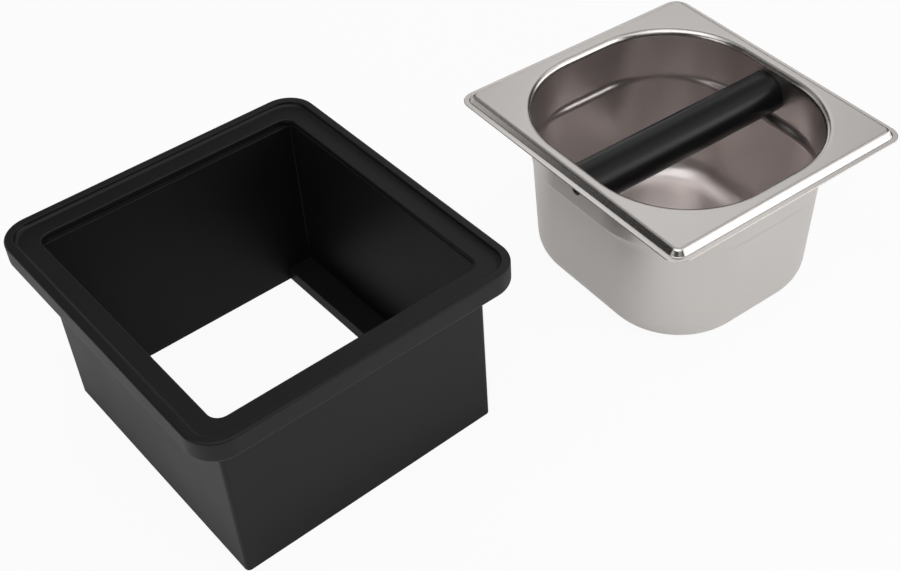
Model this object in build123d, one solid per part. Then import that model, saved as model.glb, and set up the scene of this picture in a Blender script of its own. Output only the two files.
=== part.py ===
from build123d import *
import math
import os

# Coffee grounds bin in two pieces that stand side by side on the floor: a moulded
# housing, open at the top and the bottom, and a deep-drawn steel pan with a
# rubber-covered knock bar across it. The pan drops into the recess in the housing's rim.
# Millimetres, +Z up. The origin is at the middle of the whole footprint, on the floor.

os.makedirs("parts", exist_ok=True)

# Pan: a standard one-sixth size, 100 deep. X is the direction of the knock bar.
pan_width = 162.0
pan_length = 176.0
pan_depth = 100.0
sheet = 0.7
strip_width = 3.15
step_drop = 3.5
step_run = 2.2
flat_corner = 3.65
step_top_round = 1.1
step_foot_round = 0.8
land_width_x = 6.95
land_width_y = 8.45
well_corner = 54.7
well_roll = 1.5
shoulder_depth = 30.0
shoulder_drop = 3.0
shoulder_inset_x = 3.35
shoulder_inset_y = 1.95
shoulder_corner_change = 7.7
shoulder_round = 1.5
wall_slope = 0.047
base_round = 14.0

# Knock bar: a steel rod between the pan's walls, held by a screw through each wall,
# inside a thick rubber tube that can turn on it.
bar_depth = 17.5
core_diameter = 12.0
sleeve_diameter = 24.6
sleeve_running_clearance = 0.05
sleeve_end_gap = 0.4
sleeve_edge_round = 0.6
screw_diameter = 5.0
screw_reach = 14.0
wall_hole_clearance = 0.2
head_diameter = 8.0
head_height = 1.3
head_edge_height = 0.5

# Housing: rim, recess for the pan's edge strip, opening and skirt. The seated pan's base
# hangs a little above the floor, between the base rails.
seated_base_height = 7.8
seat_clearance = 1.2
seat_corner_play = 1.4
lip_width = 4.5
lip_height = 2.6
rim_side_height = 12.5
opening_step_x = 0.5
opening_step_y = 2.2
opening_corner = 6.0
ledge_depth_x = 2.4
ledge_depth_y = 3.8
well_clearance_x = 1.7
well_clearance_y = 1.6
skirt_wall_x = 2.4
skirt_wall_y = 1.9
skirt_draft = 0.01
skirt_corner = 2.4
rim_wall = 3.2
opening_wall = 2.2
rail_width = 15.8
rail_height = 8.0
rail_wall = 2.0
lip_outer_round = 1.2
lip_inner_round = 0.8
seat_foot_round = 0.9
rim_bottom_round = 2.4
opening_round = 0.7
ledge_round = 0.5
skirt_bottom_round = 0.4

# Where the pan stands beside the housing.
standing_gap = 61.87
pan_offset_y = -53.89
pan_turn_deg = -3.41

pick_tolerance = 0.01

# Sizes that follow from the ones above.
half_x = pan_width / 2
half_y = pan_length / 2
strip_top = pan_depth - step_drop
strip_bottom = strip_top - sheet
foot_corner = flat_corner + step_run
edge_corner = foot_corner + strip_width
well_half_x = half_x - strip_width - step_run - land_width_x
well_half_y = half_y - strip_width - step_run - land_width_y
shoulder_height = pan_depth - shoulder_depth
shoulder_slope = (shoulder_inset_x + shoulder_inset_y) / 2 / shoulder_drop
bar_height = pan_depth - bar_depth
seat_height = strip_bottom + seated_base_height
seat_half_x = half_x + seat_clearance
seat_half_y = half_y + seat_clearance
seat_corner = edge_corner + seat_clearance + seat_corner_play
rim_half_x = seat_half_x + lip_width
rim_half_y = seat_half_y + lip_width
rim_corner = seat_corner + lip_width
rim_top = seat_height + lip_height
rim_bottom = rim_top - rim_side_height
inner_half_x = well_half_x + sheet + well_clearance_x
inner_half_y = well_half_y + sheet + well_clearance_y
opening_half_x = inner_half_x + opening_step_x
opening_half_y = inner_half_y + opening_step_y
skirt_half_x = inner_half_x + skirt_wall_x
skirt_half_y = inner_half_y + skirt_wall_y
rail_face_x = inner_half_x - rail_width
pan_offset_x = rim_half_x + standing_gap + half_x


def slope_angle(slope):
    """Angle in degrees of a wall that moves sideways by `slope` per unit of height."""
    return math.degrees(math.atan(slope))


def block(wide, deep, corner, low, high, slope=0.0):
    """Block with rounded corners, sized at `high` and narrowing downwards by `slope`."""
    outline = Pos(0, 0, high) * RectangleRounded(2 * wide, 2 * deep, corner)
    return extrude(outline, amount=high - low, dir=(0, 0, -1), taper=slope_angle(slope))


def plain_block(wide, deep, low, high, slope=0.0):
    """Block with sharp corners, sized at `high` and narrowing downwards by `slope`."""
    outline = Pos(0, 0, high) * Rectangle(2 * wide, 2 * deep)
    return extrude(outline, amount=high - low, dir=(0, 0, -1), taper=slope_angle(slope))


def at_height(shape, height):
    """Edges that lie level at one height."""
    picked = []
    for edge in shape.edges():
        box = edge.bounding_box()
        if abs(box.min.Z - height) < pick_tolerance and abs(box.max.Z - height) < pick_tolerance:
            picked.append(edge)
    return picked


def ring(shape, height, wide, deep):
    """Level edges of the rounded outline with half sizes `wide` and `deep`."""
    picked = []
    for edge in at_height(shape, height):
        on_outline = True
        for vertex in edge.vertices():
            off_x = abs(abs(vertex.X) - wide)
            off_y = abs(abs(vertex.Y) - deep)
            on_outline = on_outline and min(off_x, off_y) < pick_tolerance
        if on_outline:
            picked.append(edge)
    return picked


def bowl(outset):
    """Inside of the pan's well, or its outside when `outset` is the sheet thickness."""
    drop = outset * math.tan(math.atan(shoulder_slope) / 2)
    top = shoulder_height - drop
    low = top - shoulder_drop
    floor = sheet - outset
    wide = well_half_x + outset
    deep = well_half_y + outset
    corner = well_corner + outset
    upper = block(wide, deep, corner, top, pan_depth)
    narrow_x = wide - shoulder_inset_x
    narrow_y = deep - shoulder_inset_y
    narrow_corner = corner - shoulder_corner_change
    shoulder_top = Pos(0, 0, top) * RectangleRounded(2 * wide, 2 * deep, corner)
    shoulder_low = Pos(0, 0, low) * RectangleRounded(2 * narrow_x, 2 * narrow_y, narrow_corner)
    shoulder = loft([shoulder_low, shoulder_top], ruled=True)
    lower = block(narrow_x, narrow_y, narrow_corner, floor, low, wall_slope)
    lower = fillet(at_height(lower, floor), base_round + outset)
    form = upper + shoulder + lower
    form = fillet(ring(form, top, wide, deep), shoulder_round + outset)
    return fillet(ring(form, low, narrow_x, narrow_y), shoulder_round + sheet - outset)


def stepped_rim():
    """Flat rim, the step down round it and the narrow edge strip, all one sheet thick."""
    flat_x = half_x - strip_width - step_run
    flat_y = half_y - strip_width - step_run
    foot_x = half_x - strip_width
    foot_y = half_y - strip_width
    flare = step_run / step_drop
    mitre = sheet * math.tan((math.pi / 2 - math.atan(flare)) / 2)
    hollow_top = pan_depth - sheet
    strip = block(half_x, half_y, edge_corner, strip_bottom, strip_top)
    raised = block(flat_x, flat_y, flat_corner, strip_top, pan_depth, -flare)
    rim = strip + raised
    rim = fillet(ring(rim, pan_depth, flat_x, flat_y), step_top_round)
    rim = fillet(ring(rim, strip_top, foot_x, foot_y), step_foot_round)
    inner_x = flat_x - mitre
    inner_y = flat_y - mitre
    hollow = block(inner_x, inner_y, flat_corner - mitre, strip_bottom, hollow_top, -flare)
    return rim - hollow


def make_pan():
    """Deep-drawn pan: rim, rolled edge, straight upper wall, shoulder and rounded base."""
    shell = stepped_rim() + bowl(sheet)
    under = ring(shell, pan_depth - sheet, well_half_x + sheet, well_half_y + sheet)
    shell = fillet(under, well_roll - sheet)
    shell = shell - bowl(0)
    shell = fillet(ring(shell, pan_depth, well_half_x, well_half_y), well_roll)
    hole = Cylinder(screw_diameter / 2 + wall_hole_clearance, pan_width, rotation=(0, 90, 0))
    return shell - Pos(0, 0, bar_height) * hole


def make_core():
    """Steel rod with a tapped hole in each end, as long as the well is wide."""
    rod = Cylinder(core_diameter / 2, 2 * well_half_x, rotation=(0, 90, 0))
    tapped = Cylinder(screw_diameter / 2, screw_reach, rotation=(0, 90, 0))
    for side in (-1, 1):
        rod = rod - Pos(side * (well_half_x - screw_reach / 2), 0, 0) * tapped
    return Pos(0, 0, bar_height) * rod


def make_sleeve():
    """Thick rubber tube with a running bore, free of the walls at both ends."""
    length = 2 * (well_half_x - sleeve_end_gap)
    tube = Cylinder(sleeve_diameter / 2, length)
    tube = fillet(tube.edges().filter_by(GeomType.CIRCLE), sleeve_edge_round)
    tube = tube - Cylinder(core_diameter / 2 + sleeve_running_clearance, length)
    return Pos(0, 0, bar_height) * Rot(0, 90, 0) * tube


def dome_height(across):
    """Height of the screw head's dome at a distance from its axis."""
    rise = head_height - head_edge_height
    radius = ((head_diameter / 2) ** 2 + rise ** 2) / (2 * rise)
    return head_height - radius + math.sqrt(radius ** 2 - across ** 2)


def make_screw(side):
    """Domed screw seated on the outside of the wall, its shank inside the rod."""
    head_r = head_diameter / 2
    shank_r = screw_diameter / 2
    tip = sheet + screw_reach
    top = (0, head_height)
    shank = [(0, -tip), (shank_r, -tip), (shank_r, 0)]
    rim = (head_r, head_edge_height)
    with BuildPart() as screw:
        with BuildSketch(Plane.XZ):
            with BuildLine():
                Polyline(top, *shank, (head_r, 0), rim)
                ThreePointArc(rim, (head_r / 2, dome_height(head_r / 2)), top)
            make_face()
        revolve(axis=Axis.Z)
    turned = Rot(0, side * 90, 0) * screw.part
    return Pos(side * (well_half_x + sheet), 0, bar_height) * turned


def ledge_edges(shape, height):
    """The two straight inner edges of the ledges along the long walls."""
    picked = []
    for edge in at_height(shape, height):
        box = edge.bounding_box()
        if abs(abs(box.min.Y) - inner_half_y) < pick_tolerance and box.size.Y < pick_tolerance:
            picked.append(edge)
    return picked


def make_rim():
    """Rim block with its raised lip, the recess for the pan and the cored underside."""
    rim = block(rim_half_x, rim_half_y, rim_corner, rim_bottom, rim_top)
    rim = fillet(at_height(rim, rim_top), lip_outer_round)
    rim = fillet(at_height(rim, rim_bottom), rim_bottom_round)
    rim = rim - block(seat_half_x, seat_half_y, seat_corner, seat_height, rim_top)
    rim = fillet(ring(rim, rim_top, seat_half_x, seat_half_y), lip_inner_round)
    rim = fillet(ring(rim, seat_height, seat_half_x, seat_half_y), seat_foot_round)
    core_top = seat_height - rim_wall
    core_x = rim_half_x - rim_wall
    core_y = rim_half_y - rim_wall
    core_outer = block(core_x, core_y, rim_corner - rim_wall, rim_bottom, core_top)
    land_x = opening_half_x + opening_wall
    land_y = opening_half_y + opening_wall
    land = block(land_x, land_y, opening_corner + opening_wall, rim_bottom, core_top)
    return rim - (core_outer - land)


def make_rail(side):
    """Base rail along one side wall, open underneath."""
    width = inner_half_x - rail_face_x + skirt_wall_x / 2
    middle = rail_face_x + width / 2
    bar = plain_block(width / 2, inner_half_y + skirt_wall_y / 2, 0, rail_height)
    draft = skirt_draft * (seat_height - ledge_depth_y)
    hollow_width = inner_half_x - draft - rail_face_x - rail_wall
    hollow_middle = rail_face_x + rail_wall + hollow_width / 2
    hollow = plain_block(hollow_width / 2, inner_half_y - draft, 0, rail_height - rail_wall)
    return Pos(side * middle, 0, 0) * bar - Pos(side * hollow_middle, 0, 0) * hollow


def make_housing():
    """One moulding: rim, opening with its two ledges, plain skirt and base rails."""
    skirt = block(skirt_half_x, skirt_half_y, skirt_corner, 0, seat_height - rim_wall)
    skirt = fillet(at_height(skirt, 0), skirt_bottom_round)
    body = make_rim() + skirt
    ledge_x = seat_height - ledge_depth_x
    ledge_y = seat_height - ledge_depth_y
    body = body - block(opening_half_x, opening_half_y, opening_corner, ledge_x, seat_height)
    body = fillet(ring(body, seat_height, opening_half_x, opening_half_y), opening_round)
    body = body - plain_block(inner_half_x, opening_half_y, ledge_y, ledge_x)
    body = body - plain_block(inner_half_x, inner_half_y, 0, ledge_y, skirt_draft)
    body = fillet(ledge_edges(body, ledge_y), ledge_round)
    for side in (-1, 1):
        body = body + make_rail(side)
    return body


def turned_reach(along, across):
    """Half extent of the pan's rounded outline after its turn, along one axis."""
    turn = math.radians(abs(pan_turn_deg))
    reach = (along - edge_corner) * math.cos(turn) + (across - edge_corner) * math.sin(turn)
    return reach + edge_corner


low_x = -rim_half_x
high_x = pan_offset_x + turned_reach(half_x, half_y)
low_y = pan_offset_y - turned_reach(half_y, half_x)
high_y = rim_half_y
middle_x = (low_x + high_x) / 2
middle_y = (low_y + high_y) / 2
housing_place = Pos(-middle_x, -middle_y, 0)
pan_place = Pos(pan_offset_x - middle_x, pan_offset_y - middle_y, 0) * Rot(0, 0, pan_turn_deg)

pieces = {
    "housing": housing_place * make_housing(),
    "pan": pan_place * make_pan(),
    "bar_core": pan_place * make_core(),
    "bar_sleeve": pan_place * make_sleeve(),
    "screw_left": pan_place * make_screw(-1),
    "screw_right": pan_place * make_screw(1),
}

for name, piece in pieces.items():
    export_step(piece, os.path.join("parts", name + ".step"))
    box = piece.bounding_box()
    print(name, round(piece.volume / 1000, 2), "cm3", box.size, "valid", piece.is_valid)
print("pan centre", pan_offset_x - middle_x, pan_offset_y - middle_y, "housing", -middle_x, -middle_y)
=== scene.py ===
# %% [markdown]
# # A coffee grounds bin in two pieces
# The real object is a black moulded housing and a deep steel pan that drops into it. Here
# they stand side by side on a white floor. The pan has a thick rubber bar across it, on
# which the coffee handle is knocked out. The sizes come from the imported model, which is
# loaded first and never moved. Every piece but the rod inside the bar is a new mesh, made
# to the model's sizes.

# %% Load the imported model
import bpy
import bmesh
import math
from mathutils import Matrix, Vector


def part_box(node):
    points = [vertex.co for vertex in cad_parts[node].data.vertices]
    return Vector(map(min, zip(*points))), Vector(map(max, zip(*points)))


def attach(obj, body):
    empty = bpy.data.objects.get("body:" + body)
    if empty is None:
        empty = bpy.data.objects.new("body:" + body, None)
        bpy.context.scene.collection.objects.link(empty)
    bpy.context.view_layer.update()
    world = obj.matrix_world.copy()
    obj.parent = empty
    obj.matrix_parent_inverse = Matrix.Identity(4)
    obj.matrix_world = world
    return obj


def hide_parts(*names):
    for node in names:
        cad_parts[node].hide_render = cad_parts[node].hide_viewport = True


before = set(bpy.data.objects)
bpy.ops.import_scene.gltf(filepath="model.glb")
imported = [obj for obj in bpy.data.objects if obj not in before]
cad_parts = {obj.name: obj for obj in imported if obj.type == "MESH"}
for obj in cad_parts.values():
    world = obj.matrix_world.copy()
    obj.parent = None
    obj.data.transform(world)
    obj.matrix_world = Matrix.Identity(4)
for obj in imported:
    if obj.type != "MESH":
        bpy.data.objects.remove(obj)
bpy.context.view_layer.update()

# %% [markdown]
# ## Sizes
# All lengths are written in millimetres and turned into metres once, so that they can be
# compared with a drawing of the part. A piece is made round its own middle and then put in
# its place: the housing square to the frame, the pan turned by a few degrees.

# %% Units and places
MM = 0.001
HOUSING_CENTRE = Vector((-114.221, 26.166, 0.0)) * MM
PAN_CENTRE = Vector((115.349, -27.724, 0.0)) * MM
PAN_TURN = math.radians(-3.41)
place_housing = Matrix.Translation(HOUSING_CENTRE)
place_pan = Matrix.Translation(PAN_CENTRE) @ Matrix.Rotation(PAN_TURN, 4, "Z")
for node in ("housing", "pan"):
    low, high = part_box(node)
    print(node, "is centred at", [round(v / MM, 2) for v in (low + high) / 2])

# %% [markdown]
# ## Camera
# The camera looks down on the two pieces from the front left. It could be aimed by hand
# until it looks right, but then every edge would lie a little off. So its place, its angles
# and its lens are the ones that the perspective of the edges gives. Its frame is shifted,
# because the picture is one part of a wider view. It is made first, because everything
# after it is judged through it.

# %% Camera
CAMERA_PLACE = Vector((-342.58, -439.04, 545.80)) * MM
LOOK_TURN = math.radians(48.15)
LOOK_DOWN = math.radians(42.09)
ROLL = math.radians(-0.50)
FRAME_WIDTH, FRAME_HEIGHT = 900, 571
FOCAL_PIXELS = 1416.4
VIEW_CENTRE = (553.52, 261.91)
SENSOR_WIDTH = 36.0


def add_object(name, data):
    """A new object in the scene, at the origin."""
    made = bpy.data.objects.new(name, data)
    bpy.context.scene.collection.objects.link(made)
    return made


def direction(turn, climb):
    """Unit vector at a turn round the vertical and a climb above the floor."""
    level = math.cos(climb)
    return Vector((level * math.cos(turn), level * math.sin(turn), math.sin(climb)))


forward = direction(LOOK_TURN, -LOOK_DOWN)
level_right = Vector((math.sin(LOOK_TURN), -math.cos(LOOK_TURN), 0.0))
level_up = level_right.cross(forward)
right = level_right * math.cos(ROLL) + level_up * math.sin(ROLL)
up = level_up * math.cos(ROLL) - level_right * math.sin(ROLL)

camera_data = bpy.data.cameras.new("camera")
camera_data.sensor_width = SENSOR_WIDTH
camera_data.lens = FOCAL_PIXELS / FRAME_WIDTH * SENSOR_WIDTH
camera_data.shift_x = (FRAME_WIDTH / 2 - VIEW_CENTRE[0]) / FRAME_WIDTH
camera_data.shift_y = (VIEW_CENTRE[1] - FRAME_HEIGHT / 2) / FRAME_WIDTH
camera = add_object("camera", camera_data)
facing = Matrix((right, up, -forward)).transposed().to_4x4()
camera.matrix_world = Matrix.Translation(CAMERA_PLACE) @ facing
bpy.context.scene.camera = camera
bpy.context.scene.view_settings.view_transform = "Standard"
print("lens", round(camera_data.lens, 1), "mm")
print("shift", round(camera_data.shift_x, 3), round(camera_data.shift_y, 3))

# %% [markdown]
# ## Writing nodes as sums
# Materials and Geometry Nodes are both networks of sockets. Linked by hand, one short sum
# takes a dozen lines. So a small class lets a socket stand in a Python expression, and one
# method makes any other node, with its settings first and then what goes into its sockets.
# Both kinds of tree use the same two classes.


# %% A socket that can be used in sums
class Wire:
    """An output socket; each sum that it stands in adds its Math nodes."""

    def __init__(self, net, socket):
        self.net = net
        self.socket = socket

    def math(self, operation, *values):
        """A Math node of any kind, in the same tree."""
        return self.net.add("ShaderNodeMath", {"operation": operation}, values)

    def apply(self, operation):
        """A Math node that takes this wire alone, such as FLOOR or SINE."""
        return self.math(operation, self)

    def __add__(self, other):
        return self.math("ADD", self, other)

    def __radd__(self, other):
        return self.math("ADD", other, self)

    def __sub__(self, other):
        return self.math("SUBTRACT", self, other)

    def __rsub__(self, other):
        return self.math("SUBTRACT", other, self)

    def __mul__(self, other):
        return self.math("MULTIPLY", self, other)

    def __rmul__(self, other):
        return self.math("MULTIPLY", other, self)

    def __truediv__(self, other):
        return self.math("DIVIDE", self, other)

    def __rtruediv__(self, other):
        return self.math("DIVIDE", other, self)


print("a wire can stand on either side of + - * and /")


# %% A tree written from Python
class Net:
    """A node tree, with one method that makes every kind of node."""

    def __init__(self, tree):
        self.tree = tree

    def add(self, kind, settings=None, values=(), out=0):
        """Make one node: settings first, then values or wires for its sockets."""
        node = self.tree.nodes.new(kind)
        for name, value in (settings or {}).items():
            setattr(node, name, value)
        pairs = values.items() if isinstance(values, dict) else enumerate(values)
        for key, value in pairs:
            self.put(node.inputs[key], value)
        return Wire(self, node.outputs[out]) if node.outputs else None

    def put(self, socket, value):
        """Link a wire into a socket, or set the socket's own value."""
        if isinstance(value, Wire):
            self.tree.links.new(value.socket, socket)
        else:
            socket.default_value = value

    def other(self, wire, name):
        """Another output of the node that a wire comes from."""
        return Wire(self, wire.socket.node.outputs[name])


print("one method makes every node")

# %% Nodes that come back in the finishes
COLOUR_A, COLOUR_B, MIXED_COLOUR = 6, 7, 2


def noise(net, where, cells, detail=3.0, roughness=0.5):
    """Soft procedural noise, 0 to 1, at a number of cells per metre."""
    values = {"Vector": where, "Scale": cells, "Detail": detail, "Roughness": roughness}
    return net.add("ShaderNodeTexNoise", {"noise_dimensions": "3D"}, values)


def blend_colours(net, share, first, second):
    """Two colours mixed by a share. The Mix node's colour sockets go by their numbers."""
    values = {"Factor": share, COLOUR_A: first + (1.0,), COLOUR_B: second + (1.0,)}
    return net.add("ShaderNodeMix", {"data_type": "RGBA"}, values, out=MIXED_COLOUR)


def times(net, first, second):
    """Two vectors or two colours, multiplied part by part."""
    return net.add("ShaderNodeVectorMath", {"operation": "MULTIPLY"}, (first, second))


def soft_ramp(net, value, start, end, least=0.0):
    """A share that climbs softly from `least` to 1 between two marks."""
    values = {"Value": value, "From Min": start, "From Max": end, "To Min": least}
    return net.add("ShaderNodeMapRange", {"interpolation_type": "SMOOTHSTEP"}, values)


def dented(net, strength, depth, height):
    """Normal of a dented surface, from a depth in millimetres and a height of 0 to 1."""
    values = {"Strength": strength, "Distance": depth * MM, "Height": height}
    return net.add("ShaderNodeBump", None, values)


print("noise, blend, product, ramp and dents are ready")


# %% Start and end of a material
def new_material(name):
    """An empty material, and the net that writes into it."""
    material = bpy.data.materials.new(name)
    material.use_nodes = True
    material.node_tree.nodes.clear()
    return material, Net(material.node_tree)


def put_skin(net, values):
    """End a material in one Principled surface."""
    skin = net.add("ShaderNodeBsdfPrincipled", None, values)
    net.add("ShaderNodeOutputMaterial", None, {"Surface": skin})


print("a material starts empty and ends in one surface")

# %% [markdown]
# ## Finish of the housing: matt black plastic
# The moulding is nearly black, with a fine grain from the mould that breaks its gloss. One
# flat dark colour would do from far away, but near by it looks like a hole. Three noises
# make it real: grain and pores of well under a millimetre, for the dents and the gloss, and
# a cloud of some centimetres, for the slow changes that every handled surface has.

# %% Black plastic
PLASTIC_DARK = (0.0040, 0.0040, 0.0043)
PLASTIC_PALE = (0.0062, 0.0062, 0.0066)
PLASTIC_ROUGHNESS = 0.38
PLASTIC_GLOSS = 0.32
GRAIN_CELLS, PORE_CELLS, CLOUD_CELLS = 1500.0, 4200.0, 24.0
black_plastic, net = new_material("black_plastic")
place = net.add("ShaderNodeTexCoord", out="Object")
grain = noise(net, place, GRAIN_CELLS, detail=4.0, roughness=0.6)
pores = noise(net, place, PORE_CELLS, detail=2.0)
cloud = noise(net, place, CLOUD_CELLS, detail=4.0, roughness=0.55)
put_skin(net, {
    "Base Color": blend_colours(net, cloud, PLASTIC_DARK, PLASTIC_PALE),
    "Roughness": PLASTIC_ROUGHNESS + cloud * 0.10 + grain * 0.06,
    "Specular IOR Level": PLASTIC_GLOSS,
    "Normal": dented(net, strength=0.22, depth=0.06, height=grain * 0.7 + pores * 0.3),
})
print(black_plastic.name, len(net.tree.nodes), "nodes")

# %% [markdown]
# ## Finish of the pan: satin steel
# Drawn stainless steel is a mirror with a fine grain. An anisotropic shader could smear its
# reflections, but it hides the single lines. Here the grain is a noise on the piece's own
# length coordinates, stretched far along the rim and tight across it, which roughens the
# surface and barely dents it. The narrow step below the flat rim is smoother, as the press
# leaves it, and so it draws a sharper line. The metal is slightly warm. Inside the well
# light is thrown from wall to wall and is coloured each time. A weak painted bounce tint,
# which starts at the rolled edge, makes the steel inside the well a little darker and
# pinker to add to that.

# %% Grain and tone of the steel
STEEL_COOL = (0.665, 0.634, 0.612)
STEEL_WARM = (0.710, 0.675, 0.650)
CELLS_ALONG, CELLS_ACROSS = 40.0, 2600.0
TONE_CELLS, SPECK_CELLS = 18.0, 5200.0
satin_steel, net = new_material("satin_steel")
along = net.add("ShaderNodeAttribute", {"attribute_name": "grain"}, out="Vector")
place = net.add("ShaderNodeTexCoord", out="Object")
stretched = times(net, along, (CELLS_ALONG, CELLS_ACROSS, 1.0))
lines = noise(net, stretched, 1.0, roughness=0.6)
tone = noise(net, place, TONE_CELLS)
speck = noise(net, place, SPECK_CELLS, detail=2.0)
metal = blend_colours(net, tone * 0.6 + lines * 0.4, STEEL_COOL, STEEL_WARM)
print("a line of grain is", round(1 / CELLS_ALONG / MM), "mm long", end=" ")
print("and", round(1 / CELLS_ACROSS / MM, 2), "mm wide")

# %% The smoother step and the painted bounce tint in the well
STEP_FOOT = (95.5 * MM, 96.5 * MM)
STEP_HEAD = (99.9 * MM, 99.6 * MM)
# The well's tint is painted bounce light: it makes the steel inside the well a little darker
# and pinker.
TINT_STARTS, TINT_IS_FULL = 184.0 * MM, 190.0 * MM
NO_TINT = (1.0, 1.0, 1.0)
PAINTED_BOUNCE_TINT = (0.960, 0.935, 0.950)


def even_ramp(net, value, marks):
    """A share that goes evenly from 0 at the first mark to 1 at the second."""
    values = {"Value": value, "From Min": marks[0], "From Max": marks[1]}
    return net.add("ShaderNodeMapRange", None, values)


height = net.add("ShaderNodeSeparateXYZ", None, (place,), "Z")
on_step = even_ramp(net, height, STEP_FOOT) * even_ramp(net, height, STEP_HEAD)
run = net.add("ShaderNodeSeparateXYZ", None, (along,), "Y")
# Share of the painted bounce tint, growing from the rolled edge into the well.
painted_bounce_share = soft_ramp(net, run, TINT_STARTS, TINT_IS_FULL)
tint = blend_colours(net, painted_bounce_share, NO_TINT, PAINTED_BOUNCE_TINT)
print("the tint starts", round(TINT_STARTS / MM), "mm along the profile")

# %% Satin steel
STEEL_ROUGHNESS = 0.28
SMOOTHER_BY = 0.08
put_skin(net, {
    "Base Color": times(net, metal, tint),
    "Metallic": 1.0,
    "Roughness": STEEL_ROUGHNESS - on_step * SMOOTHER_BY + lines * 0.05 + tone * 0.03,
    "Normal": dented(net, strength=0.10, depth=0.02, height=lines * 0.6 + speck * 0.4),
})
print(satin_steel.name, len(net.tree.nodes), "nodes")

# %% [markdown]
# ## Finishes of the bar: rubber, rod and screws
# The bar's tube is smooth black rubber with a soft sheen, so it is made like the plastic,
# but with less roughness and shallower dents. The rod in it is plain drawn steel. The
# screws are dark steel, so that they show as a dark spot under the bright rim. The two
# metals differ only in numbers, so one function makes both.

# %% Rubber
RUBBER_DARK = (0.0035, 0.0035, 0.0037)
RUBBER_PALE = (0.0060, 0.0060, 0.0063)
RUBBER_ROUGHNESS = 0.27
RUBBER_GLOSS = 0.26
BLOOM_CELLS, SKIN_CELLS = 60.0, 3000.0
soft_rubber, net = new_material("soft_rubber")
place = net.add("ShaderNodeTexCoord", out="Object")
bloom = noise(net, place, BLOOM_CELLS, detail=4.0, roughness=0.6)
dents = noise(net, place, SKIN_CELLS, detail=2.0)
put_skin(net, {
    "Base Color": blend_colours(net, bloom, RUBBER_DARK, RUBBER_PALE),
    "Roughness": RUBBER_ROUGHNESS + bloom * 0.08,
    "Specular IOR Level": RUBBER_GLOSS,
    "Normal": dented(net, strength=0.15, depth=0.04, height=dents),
})
print(soft_rubber.name, len(net.tree.nodes), "nodes")

# %% Rod steel and blackened steel
ROD_DARK, ROD_PALE = (0.50, 0.50, 0.49), (0.58, 0.57, 0.56)
SCREW_DARK, SCREW_PALE = (0.030, 0.030, 0.032), (0.060, 0.060, 0.062)
STAIN_CELLS, SCRATCH_CELLS = 220.0, 3500.0


def plain_metal(name, dark, pale, roughness):
    """Metal with a soft change of tone and a fine roughness."""
    material, net = new_material(name)
    place = net.add("ShaderNodeTexCoord", out="Object")
    stain = noise(net, place, STAIN_CELLS, detail=4.0, roughness=0.6)
    scratch = noise(net, place, SCRATCH_CELLS, detail=2.0)
    put_skin(net, {
        "Base Color": blend_colours(net, stain, dark, pale),
        "Metallic": 1.0,
        "Roughness": roughness + stain * 0.1,
        "Normal": dented(net, strength=0.1, depth=0.02, height=scratch),
    })
    print(name, len(net.tree.nodes), "nodes")
    return material


rod_steel = plain_metal("rod_steel", ROD_DARK, ROD_PALE, roughness=0.30)
black_steel = plain_metal("black_steel", SCREW_DARK, SCREW_PALE, roughness=0.38)

# %% [markdown]
# ## Profiles
# The housing and the pan follow one rule: at every height the outline is a rectangle with
# rounded corners, and only its size and its corner radius change. So each is described by
# a profile, a list of (half width, half length, corner radius, height, rounding). A Bevel
# modifier could round the edges afterwards, but not easily each edge by its own size. The
# helper below swaps each corner of the profile for a small arc, as a mould or a press tool
# would.

# %% Profile with rounded corners
ARC_STEPS = 6
HALF_WIDTH, HALF_LENGTH, RADIUS, HEIGHT, ROUNDING = range(5)


def drawn(point):
    """A profile point on paper: the mean of its two half sizes, and its height."""
    return Vector(((point[HALF_WIDTH] + point[HALF_LENGTH]) / 2, point[HEIGHT]))


def arc_between(before, here, after, steps):
    """Points of the arc that replaces the corner `here`, with the radius it asks for."""
    corner = drawn(here)
    back = drawn(before) - corner
    on = drawn(after) - corner
    half = back.angle(on) / 2
    size = here[ROUNDING]
    inwards = (back.normalized() + on.normalized()).normalized()
    centre = corner + inwards * (size / math.sin(half))
    start = corner + back.normalized() * (size / math.tan(half)) - centre
    end = corner + on.normalized() * (size / math.tan(half)) - centre
    sweep = start.angle_signed(end)
    area = back.x * on.y - back.y * on.x
    points = []
    for step in range(steps + 1):
        turned = start.copy()
        turned.rotate(Matrix.Rotation(-sweep * step / steps, 2))
        offset = centre + turned - corner
        a = (offset.x * on.y - offset.y * on.x) / area
        b = (back.x * offset.y - back.y * offset.x) / area
        numbers = zip(before[:ROUNDING], here[:ROUNDING], after[:ROUNDING])
        points.append([h + a * (p - h) + b * (n - h) for p, h, n in numbers])
    return points


def rounded_profile(corners, closed=False, steps=ARC_STEPS):
    """All points of a profile, each as [half width, half length, corner radius, height]."""
    points = []
    count = len(corners)
    for index, here in enumerate(corners):
        is_end = not closed and index in (0, count - 1)
        if is_end or here[ROUNDING] == 0:
            points.append(list(here[:ROUNDING]))
        else:
            after = corners[(index + 1) % count]
            points += arc_between(corners[index - 1], here, after, steps)
    if closed:
        points.append(points[0])
    return points


print("a corner becomes", ARC_STEPS + 1, "points")

# %% [markdown]
# ## The rounded shell as Geometry Nodes
# A Screw modifier can sweep a profile too, but only in a circle. So a tree takes a wire
# with one point for each point of the profile and wraps a grid round it. A grid point's
# number says which profile point it belongs to and how far round it lies. Four quarter
# arcs are placed at the four corners, and the straight sides appear between them. Where
# the corner radius equals both half sizes, the outline is a circle, so the same tree also
# makes round things. The lengths round the piece and along the profile are kept as a pair
# of coordinates for the grain.


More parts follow.
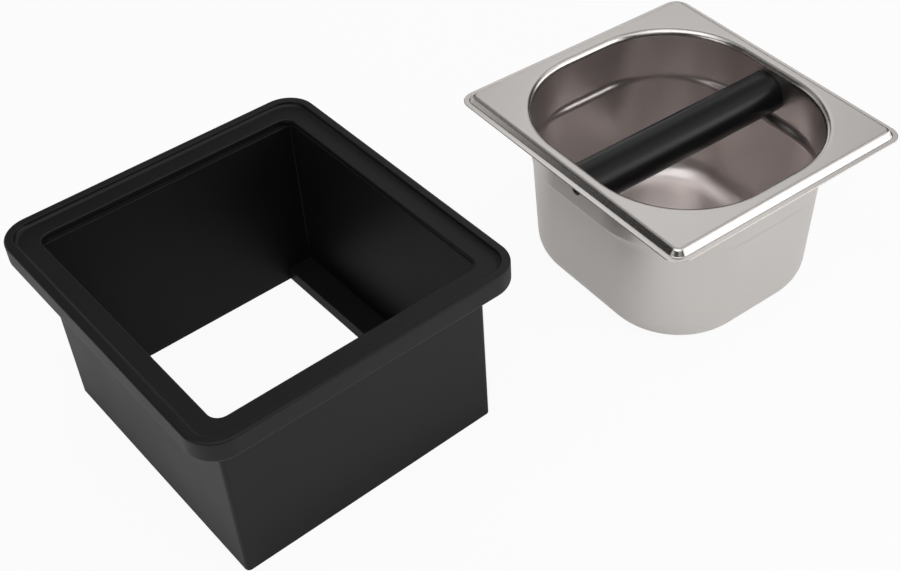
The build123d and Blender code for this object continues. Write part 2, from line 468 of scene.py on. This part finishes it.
# %% Start and end of a Geometry Nodes tree
def new_tree(name, inputs):
    """A net with named inputs, their wires, and the identifiers that a modifier sets."""
    tree = bpy.data.node_groups.new(name, "GeometryNodeTree")
    keys = []
    for label, kind in inputs:
        full = "NodeSocket" + kind
        socket = tree.interface.new_socket(label, in_out="INPUT", socket_type=full)
        keys.append(socket.identifier)
    tree.interface.new_socket("Result", in_out="OUTPUT", socket_type="NodeSocketGeometry")
    net = Net(tree)
    entry = net.add("NodeGroupInput")
    return net, [net.other(entry, label) for label, kind in inputs], keys


def close_tree(net, geometry, finish):
    """Shade the result smooth, make its copies real and give it its finish."""
    shading = {"Geometry": geometry, "Shade Smooth": True}
    smooth = net.add("GeometryNodeSetShadeSmooth", None, shading)
    real = net.add("GeometryNodeRealizeInstances", None, {"Geometry": smooth})
    paint = {"Geometry": real, "Material": finish}
    net.add("NodeGroupOutput", None, (net.add("GeometryNodeSetMaterial", None, paint),))
    print(net.tree.name, "has", len(net.tree.nodes), "nodes")


print("a tree starts with named inputs and ends in its finish")


# %% Tree of the rounded shell
CORNERS = 4
QUARTER_TURN = math.pi / 2
MERGE_WITHIN = 0.001 * MM
POINT_VECTOR = {"data_type": "FLOAT_VECTOR", "domain": "POINT"}
POINT_NUMBER = {"data_type": "FLOAT", "domain": "POINT"}
CORNER_PAIR = {"data_type": "FLOAT2", "domain": "CORNER"}


def shell_tree():
    """A grid with a row for each profile point and a column for each step round it."""
    inputs = [("Profile", "Geometry"), ("Corner Steps", "Int"), ("Finish", "Material")]
    net, (profile, steps, finish), keys = new_tree("rounded_shell", inputs)
    rows = net.add("GeometryNodeAttributeDomainSize", {"component": "MESH"}, (profile,))
    grid = {"Vertices X": (steps + 1) * CORNERS + 1, "Vertices Y": rows}
    sheet = net.add("GeometryNodeMeshGrid", None, grid)

    # Half a step more keeps each division clear of a rounding error at a whole number.
    number = net.add("GeometryNodeInputIndex")
    column = ((number + 0.5) / rows).apply("FLOOR")
    row = number - column * rows
    quarter = ((column + 0.5) / (steps + 1)).apply("FLOOR")
    share = (column - quarter * (steps + 1)) / steps
    angle = (quarter + share) * QUARTER_TURN
    middle = (quarter + 0.5) * QUARTER_TURN

    def from_row(settings, field):
        where = {"Geometry": profile, "Value": field, "Index": row}
        return net.add("GeometryNodeSampleIndex", settings, where, "Value")

    def stored(name):
        kind = {"data_type": "FLOAT"}
        field = net.add("GeometryNodeInputNamedAttribute", kind, {"Name": name})
        return from_row(POINT_NUMBER, field)

    sizes = from_row(POINT_VECTOR, net.add("GeometryNodeInputPosition"))
    half_x = net.add("ShaderNodeSeparateXYZ", None, (sizes,), "X")
    half_y, height = net.other(half_x, "Y"), net.other(half_x, "Z")
    radius, run = stored("corner"), stored("run")
    flat_x, flat_y = half_x - radius, half_y - radius

    x = middle.apply("COSINE").apply("SIGN") * flat_x + radius * angle.apply("COSINE")
    y = middle.apply("SINE").apply("SIGN") * flat_y + radius * angle.apply("SINE")
    point = net.add("ShaderNodeCombineXYZ", None, (x, y, height))

    # Way round: the arcs so far and every straight side that has been passed.
    passed_x = flat_x * 2 * ((quarter + 1) / 2).apply("FLOOR")
    passed_y = flat_y * 2 * (quarter / 2).apply("FLOOR")
    way = radius * angle + passed_x + passed_y
    grain = net.add("ShaderNodeCombineXYZ", None, (way, run, 0.0))

    # The numbers hold for points, so they are fixed there before the faces' corners take
    # them, because Index means something else on a corner.
    grain = net.add("GeometryNodeFieldOnDomain", POINT_VECTOR, (grain,))
    keep = {"Geometry": sheet, "Name": "grain", "Value": grain}
    kept = net.add("GeometryNodeStoreNamedAttribute", CORNER_PAIR, keep)
    move = {"Geometry": kept, "Position": point}
    shaped = net.add("GeometryNodeSetPosition", None, move)
    merge = {"Geometry": shaped, "Distance": MERGE_WITHIN}
    close_tree(net, net.add("GeometryNodeMergeByDistance", None, merge), finish)
    return net.tree, keys


shell, (_, STEPS_INPUT, FINISH_INPUT) = shell_tree()


# %% From a tree to a plain mesh
def run_tree(piece, tree, inputs, matrix):
    """Run a tree on a piece, keep its result as a plain mesh and put its place in it."""
    modifier = piece.modifiers.new(tree.name, "NODES")
    modifier.node_group = tree
    for key, value in inputs.items():
        modifier[key] = value
    now = bpy.context.evaluated_depsgraph_get()
    result = bpy.data.meshes.new_from_object(piece.evaluated_get(now))
    piece.modifiers.clear()
    piece.data = result
    result.name = piece.name
    result.transform(matrix)
    print(piece.name, len(result.polygons), "faces")


print("a tree's result becomes a mesh in its place")


# %% From a profile to a finished piece
BY_FACE_AREA = 100


def profile_wire(name, points):
    """A wire whose points lie at (half width, half length, height) and keep the rest."""
    mesh = bpy.data.meshes.new(name)
    spots = [(p[HALF_WIDTH] * MM, p[HALF_LENGTH] * MM, p[HEIGHT] * MM) for p in points]
    mesh.from_pydata(spots, [(i, i + 1) for i in range(len(spots) - 1)], [])
    corners = [p[RADIUS] * MM for p in points]
    runs = [0.0]
    for first, second in zip(points, points[1:]):
        out, up = second[HALF_WIDTH] - first[HALF_WIDTH], second[HEIGHT] - first[HEIGHT]
        runs.append(runs[-1] + math.hypot(out, up) * MM)
    for label, numbers in (("corner", corners), ("run", runs)):
        mesh.attributes.new(label, "FLOAT", "POINT").data.foreach_set("value", numbers)
    return add_object(name, mesh)


def make_shell(name, points, steps, finish, matrix):
    """Wrap a profile, with shading from the large faces so that flats stay flat."""
    piece = profile_wire(name, points)
    run_tree(piece, shell, {STEPS_INPUT: steps, FINISH_INPUT: finish}, matrix)
    shading = piece.modifiers.new("even_shading", "WEIGHTED_NORMAL")
    shading.weight = BY_FACE_AREA
    shading.keep_sharp = True
    return piece


print("shells are shaded by the area of their faces")

# %% [markdown]
# ## The housing
# One moulding. From the floor the profile climbs the plain skirt, goes out under the rim
# and into the hollow that keeps the rim's wall thin, round the rim and its raised lip,
# down into the recess that takes the pan, over the flat seat and through the opening with
# its two ledges, and back down inside. Boxes cut out of boxes would give the same walls,
# but not the soft lip. The two base rails are separate strips.

# %% Housing
SOFT = 0.3
HOUSING_CORNER_STEPS = 20
housing_profile = [
    (73.5, 78.4, 2.4, 0.0, SOFT),
    (73.5, 78.4, 2.4, 93.7, SOFT),
    (73.8, 80.9, 8.2, 93.7, SOFT),
    (73.8, 80.9, 8.2, 100.4, SOFT),
    (83.5, 90.5, 12.9, 100.4, SOFT),
    (83.5, 90.5, 12.9, 93.7, SOFT),
    (86.7, 93.7, 16.1, 93.7, 2.4),
    (86.7, 93.7, 16.1, 106.2, 1.2),
    (82.2, 89.2, 11.6, 106.2, 0.5),
    (82.2, 89.2, 11.6, 103.6, 1.9),
    (71.6, 78.7, 6.0, 103.6, 0.7),
    (71.6, 78.7, 6.0, 101.2, 0.0),
    (71.1, 78.7, 0.6, 101.2, 0.15),
    (71.1, 78.7, 0.6, 99.8, 0.15),
    (71.1, 76.5, 0.6, 99.8, 0.25),
    (70.1, 75.5, 0.6, 0.0, 0.15),
]
points = rounded_profile(housing_profile, closed=True)
housing_shell = make_shell(
    "housing_shell", points, HOUSING_CORNER_STEPS, black_plastic, place_housing)
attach(housing_shell, "housing")
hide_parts("housing")

# %% Base rails
RAIL_SECTION = [(55.3, 0.0), (57.3, 0.0), (57.3, 6.0), (70.3, 6.0), (70.3, 8.0), (55.3, 8.0)]
RAIL_HALF_LENGTH = 75.7
RAIL_EDGE = 0.4


def bridge(made, first, second):
    """A band of faces between two rings with the same number of points."""
    for index in range(len(first)):
        following = (index + 1) % len(first)
        made.faces.new((first[index], first[following], second[following], second[index]))


def make_rails():
    """The same angle section along both long walls, inside the skirt."""
    made = bmesh.new()
    for side in (1, -1):
        ends = []
        for y in (-RAIL_HALF_LENGTH, RAIL_HALF_LENGTH):
            corners = [(side * x * MM, y * MM, z * MM) for x, z in RAIL_SECTION]
            ends.append([made.verts.new(corner) for corner in corners])
        made.faces.new(ends[0])
        made.faces.new(ends[1][::-1])
        bridge(made, ends[1], ends[0])
    bmesh.ops.recalc_face_normals(made, faces=made.faces)
    made.transform(place_housing)
    mesh = bpy.data.meshes.new("base_rails")
    made.to_mesh(mesh)
    made.free()
    mesh.materials.append(black_plastic)
    rails = add_object("base_rails", mesh)
    edge = rails.modifiers.new("edge", "BEVEL")
    edge.width = RAIL_EDGE * MM
    edge.segments = 2
    return rails


base_rails = make_rails()
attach(base_rails, "housing")
print("base rails", len(base_rails.data.polygons), "faces")

# %% [markdown]
# ## The pan
# The pan is one sheet, 0.7 mm thick, drawn in a press. The profile goes up the outside
# from the middle of the base, out under the rim to the sheet's edge, and back over the
# narrow strip, the step, the flat rim and the rolled edge, down the straight upper wall,
# over the shoulder and down to the middle of the floor. A Solidify modifier could give one
# surface its thickness, but polished steel shows every fault, so both sides are drawn. The
# flat rim has tight corners outside and wide ones inside. So two more points lie on it, one
# at an even distance from each edge, and the corners change between them, where the sheet
# is level. Without them the shading of the rounded edges would bend at the corners.

# %% Pan
SHEET_EDGE = 0.3
PAN_ARC_STEPS, PAN_CORNER_STEPS = 9, 28
pan_profile = [
    (0.0, 0.0, 0.0, 0.0, 0.0),
    (33.0, 39.9, 14.6, 0.0, 0.0),
    (62.91, 69.81, 44.56, 0.0, 14.7),
    (66.05, 72.95, 47.7, 66.74, 4.0),
    (69.4, 74.9, 55.4, 69.74, 4.0),
    (69.4, 74.9, 55.4, 99.3, 2.9),
    (72.4, 77.9, 58.4, 99.3, 0.0),
    (73.9, 80.9, 1.9, 99.3, 0.0),
    (75.26, 82.26, 3.26, 99.3, 1.9),
    (77.46, 84.46, 5.46, 95.8, 0.9),
    (81.0, 88.0, 9.0, 95.8, SHEET_EDGE),
    (81.0, 88.0, 9.0, 96.5, SHEET_EDGE),
    (77.85, 84.85, 5.85, 96.5, 0.8),
    (75.65, 82.65, 3.65, 100.0, 2.6),
    (73.95, 80.95, 1.95, 100.0, 0.0),
    (72.3, 77.8, 58.3, 100.0, 0.0),
    (68.6, 74.1, 54.6, 100.0, 3.5),
    (68.7, 74.2, 54.7, 70.0, 4.6),
    (65.35, 72.25, 47.0, 66.9, 4.6),
    (62.23, 69.13, 43.88, 0.7, 14.0),
    (33.0, 39.9, 14.6, 0.7, 0.0),
    (0.0, 0.0, 0.0, 0.7, 0.0),
]
points = rounded_profile(pan_profile, steps=PAN_ARC_STEPS)
pan_shell = make_shell("pan_shell", points, PAN_CORNER_STEPS, satin_steel, place_pan)
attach(pan_shell, "pan")
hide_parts("pan")

# %% [markdown]
# ## The knock bar
# A thick rubber tube on a steel rod takes the blows. A Cylinder with a Bevel would do for
# the tube, but the shell's tree already makes round outlines with rounded ends, so it is
# used again, laid along the pan. The rod is the model's own and only gets its finish.

# %% Rubber tube and rod
BAR_HEIGHT = 82.5 * MM
TUBE_RADIUS, TUBE_EDGE = 12.3, 0.3
BORE_RADIUS, BORE_EDGE = 6.05, 0.2
TUBE_HALF_LENGTH = 68.3
TUBE_CORNER_STEPS = 16
lying = Matrix.Rotation(math.radians(90), 4, "Y")
along_bar = place_pan @ Matrix.Translation((0.0, 0.0, BAR_HEIGHT)) @ lying
tube_corners = [
    (TUBE_RADIUS, -TUBE_HALF_LENGTH, TUBE_EDGE),
    (TUBE_RADIUS, TUBE_HALF_LENGTH, TUBE_EDGE),
    (BORE_RADIUS, TUBE_HALF_LENGTH, BORE_EDGE),
    (BORE_RADIUS, -TUBE_HALF_LENGTH, BORE_EDGE),
]
tube_profile = [(radius, radius, radius, end, edge) for radius, end, edge in tube_corners]
points = rounded_profile(tube_profile, closed=True)
knock_tube = make_shell("knock_tube", points, TUBE_CORNER_STEPS, soft_rubber, along_bar)
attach(knock_tube, "sleeve")
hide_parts("bar_sleeve")

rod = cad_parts["bar_core"]
rod.data.materials.clear()
rod.data.materials.append(rod_steel)
print(rod.name, "is finished in", rod_steel.name)

# %% [markdown]
# ## The wall screws
# Two equal screws hold the rod from outside. One is built as a stack of rings, from the
# shank over the domed head into its six-sided socket, because rings can change from round
# to six-sided without a cut. A small tree then sets a copy at each end of the bar, because
# repeats are what instances are for.

# %% One screw
SCREW_SIDES = 48
SHANK_RADIUS, SHANK_END = 2.5, -14.7
HEAD_RADIUS, HEAD_EDGE = 3.2, 0.1
DOME_FOOT, DOME_RISE = 0.5, 0.8
DOME_ANGLES = (90, 80, 70, 60, 50, 40, 32)
SOCKET_ACROSS, SOCKET_MOUTH, SOCKET_FLOOR = 2.2, 2.4, 0.4
MOUTH_ABOVE_DOME, WALL_BELOW_DOME = 0.06, 0.1
SHARP_FROM = math.radians(35)


def hexagon_reach(angle, across):
    """Distance from the middle to the side of a hexagon, in one direction."""
    folded = (angle + math.pi / 6) % (math.pi / 3) - math.pi / 6
    return across / 2 / math.cos(folded)


def round_reach(angle, radius):
    """The same for a circle."""
    return radius


def screw_rings():
    """From the shank's end to the socket's floor, as (reach, size, height)."""
    dome = []
    for angle in map(math.radians, DOME_ANGLES):
        height = DOME_FOOT + DOME_RISE * math.cos(angle)
        dome.append((HEAD_RADIUS * math.sin(angle), height))
    top = dome[-1][1]
    rings = [(SHANK_RADIUS, SHANK_END), (SHANK_RADIUS, 0.0)]
    rings += [(HEAD_RADIUS - HEAD_EDGE, 0.0), (HEAD_RADIUS, HEAD_EDGE)] + dome
    socket = [(SOCKET_MOUTH, top + MOUTH_ABOVE_DOME), (SOCKET_ACROSS, top - WALL_BELOW_DOME)]
    socket += [(SOCKET_ACROSS, SOCKET_FLOOR)]
    rings = [(round_reach, size, height) for size, height in rings]
    return rings + [(hexagon_reach, size, height) for size, height in socket]


def make_screw_mesh():
    """One screw along Z, with its head's underside at 0."""
    made = bmesh.new()
    loops = []
    for reach_of, size, height in screw_rings():
        loop = []
        for side in range(SCREW_SIDES):
            angle = 2 * math.pi * side / SCREW_SIDES
            reach = reach_of(angle, size)
            x, y = reach * math.cos(angle), reach * math.sin(angle)
            loop.append(made.verts.new((x * MM, y * MM, height * MM)))
        loops.append(loop)
    for lower, upper in zip(loops, loops[1:]):
        bridge(made, lower, upper)
    made.faces.new(loops[0][::-1])
    made.faces.new(loops[-1])
    mesh = bpy.data.meshes.new("one_screw")
    made.to_mesh(mesh)
    made.free()
    mesh.set_sharp_from_angle(angle=SHARP_FROM)
    return mesh


wall_screws = add_object("wall_screws", make_screw_mesh())
print("one screw", len(wall_screws.data.polygons), "faces")

# %% A copy at each end of the bar
SCREW_HALF_SPREAD = 69.4


def screw_tree():
    """Copies at the two ends of a line through the middle, with their heads outwards."""
    inputs = [("Screw", "Geometry"), ("Half Spread", "Float"), ("Finish", "Material")]
    net, (screw, spread, finish), keys = new_tree("screw_at_each_end", inputs)
    low = net.add("ShaderNodeCombineXYZ", None, (0.0, 0.0, spread * -1.0))
    high = net.add("ShaderNodeCombineXYZ", None, (0.0, 0.0, spread))
    line = {"Count": 2, "Start Location": low, "Offset": high}
    ends = net.add("GeometryNodeMeshLine", {"mode": "END_POINTS"}, line)
    flip = (1 - net.add("GeometryNodeInputIndex")) * math.pi
    turn = net.add("ShaderNodeCombineXYZ", None, (flip, 0.0, 0.0))
    copy = {"Points": ends, "Instance": screw, "Rotation": turn}
    close_tree(net, net.add("GeometryNodeInstanceOnPoints", None, copy), finish)
    return net.tree, keys


screws, (_, SPREAD_INPUT, SCREW_FINISH_INPUT) = screw_tree()
inputs = {SPREAD_INPUT: SCREW_HALF_SPREAD * MM, SCREW_FINISH_INPUT: black_steel}
run_tree(wall_screws, screws, inputs, along_bar)
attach(wall_screws, "pan")
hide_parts("screw_left", "screw_right")

# %% [markdown]
# ## Floor
# The floor is white paper. A paper that is only lit would turn grey at its far end, and one
# that only glows would have no shadow. So the camera sees it at its own white, mixed with a
# little of its real shading, which keeps a soft shadow under the pieces. Reflections see
# its real shading plus a painted glow, because polished steel shows the paper that it
# stands on. That painted glow fades out under the housing and partly between the pieces,
# as painted shade where little light reaches the real paper.

# %% Floor sheet
FLOOR_SIZE = 8.0
reach = FLOOR_SIZE / 2
floor_corners = [(-reach, -reach, 0), (reach, -reach, 0), (reach, reach, 0), (-reach, reach, 0)]
floor_mesh = bpy.data.meshes.new("floor")
floor_mesh.from_pydata(floor_corners, [], [(0, 1, 2, 3)])
floor = add_object("floor", floor_mesh)
print("floor", FLOOR_SIZE, "m across")

# %% White paper
PAPER = (0.88, 0.88, 0.88, 1.0)
WHITE = (1.0, 1.0, 1.0, 1.0)
CAMERA_WHITE = 0.93
REFLECTED_WHITE = 0.37
paper, net = new_material("white_paper")
seen = net.add("ShaderNodeLightPath", out="Is Camera Ray")
mirrored = net.other(seen, "Is Glossy Ray")
through = net.other(seen, "Is Transmission Ray")
place = net.add("ShaderNodeTexCoord", out="Object")
spot_x = net.add("ShaderNodeSeparateXYZ", None, (place,), "X")
spot_y = net.other(spot_x, "Y")


def painted_shade_patch(net, centre, half, start, end, least):
    """Painted light on the paper round a box: `least` within `start` half sizes, 1 beyond
    `end`.
    """
    away_x = (spot_x - centre[0] * MM).apply("ABSOLUTE") / (half[0] * MM)
    away_y = (spot_y - centre[1] * MM).apply("ABSOLUTE") / (half[1] * MM)
    return soft_ramp(net, away_x.math("MAXIMUM", away_x, away_y), start, end, least)


# Both patches are painted shade: they take the painted glow away under the housing and partly
# between the pieces.
painted_shade_under_housing = painted_shade_patch(
    net, centre=(-102.0, 16.0), half=(80.0, 85.0), start=0.85, end=1.4, least=0.0)
between = painted_shade_patch(
    net, centre=(15.0, 0.0), half=(45.0, 85.0), start=0.6, end=1.4, least=0.6)
painted_glow = mirrored * painted_shade_under_housing * between * REFLECTED_WHITE
share = seen * CAMERA_WHITE + through * CAMERA_WHITE + painted_glow
lit = net.add("ShaderNodeBsdfDiffuse", None, {"Color": PAPER})
glowing = net.add("ShaderNodeEmission", None, {"Color": WHITE, "Strength": 1.0})
mixed = net.add("ShaderNodeMixShader", None, (share, lit, glowing))
net.add("ShaderNodeOutputMaterial", None, {"Surface": mixed})
floor_mesh.materials.append(paper)
print(paper.name, len(net.tree.nodes), "nodes")

# %% [markdown]
# ## Studio
# Satin steel is only as good as what it reflects. One large lamp would leave most of it
# grey, so the pieces stand inside a ring of soft boxes, all at one distance and turned to
# the middle, each with its own power. A low strip and a large box at the right draw the
# white line along the rim's step. The boxes behind fill the flat rim with quieter greys.
# The strongest one, high above the camera, lights the bottom of the pan, and a small one
# draws the sheen on the rubber bar. The others are weak and the world behind them is nearly
# black, which leaves the inside of the pan deep and the black plastic black.

# %% Soft boxes
AIM = Vector((0.0, 0.0, 50.0)) * MM
DISTANCE = 1.6
SMALL_BOX, LOW_BOX, MIDDLE_BOX = (0.6, 0.4), (0.8, 0.5), (0.9, 0.6)
HIGH_BOX, WIDE_BOX, STRIP_BOX = (0.8, 0.7), (1.3, 1.0), (1.3, 0.6)
# Turn and climb in degrees, size in metres, power in watts.
SOFT_BOXES = [
    (60, 10, LOW_BOX, 1.2),
    (90, 10, LOW_BOX, 0.5),
    (120, 10, LOW_BOX, 0.9),
    (180, 10, LOW_BOX, 2.4),
    (300, 10, LOW_BOX, 1.9),
    (330, 10, STRIP_BOX, 3.8),
    (306, 26, SMALL_BOX, 1.9),
    (36, 30, MIDDLE_BOX, 1.2),
    (108, 30, MIDDLE_BOX, 0.5),
    (252, 30, MIDDLE_BOX, 0.8),
    (324, 30, WIDE_BOX, 3.1),
    (0, 50, HIGH_BOX, 0.9),
    (45, 50, HIGH_BOX, 1.4),
    (90, 50, HIGH_BOX, 0.4),
    (180, 50, HIGH_BOX, 2.0),
    (225, 50, HIGH_BOX, 2.0),
    (270, 50, HIGH_BOX, 2.0),
    (315, 50, HIGH_BOX, 1.0),
    (135, 70, HIGH_BOX, 1.2),
    (225, 70, WIDE_BOX, 4.6),
    (315, 70, HIGH_BOX, 0.7),
    (0, 90, HIGH_BOX, 0.95),
]


def soft_box(turn, climb, size, power):
    """A lamp at a turn and a climb in degrees, seen from the middle, that points there."""
    name = "soft_box_%d_%d" % (turn, climb)
    lamp_data = bpy.data.lights.new(name, "AREA")
    lamp_data.shape = "RECTANGLE"
    lamp_data.size, lamp_data.size_y = size
    lamp_data.energy = power
    lamp = add_object(name, lamp_data)
    out = direction(math.radians(turn), math.radians(climb))
    lamp.location = AIM + out * DISTANCE
    lamp.rotation_euler = (-out).to_track_quat("-Z", "Y").to_euler()


for box in SOFT_BOXES:
    soft_box(*box)
total = sum(power for turn, climb, size, power in SOFT_BOXES)
print(len(SOFT_BOXES), "soft boxes,", round(total, 1), "W together")

# %% World
WORLD_GREY = (0.01, 0.01, 0.01, 1.0)
world = bpy.data.worlds.new("studio")
bpy.context.scene.world = world
world.use_nodes = True
world.node_tree.nodes.clear()
net = Net(world.node_tree)
sky = net.add("ShaderNodeBackground", None, {"Color": WORLD_GREY, "Strength": 1.0})
net.add("ShaderNodeOutputWorld", None, {"Surface": sky})
print("world is set to", WORLD_GREY[0])
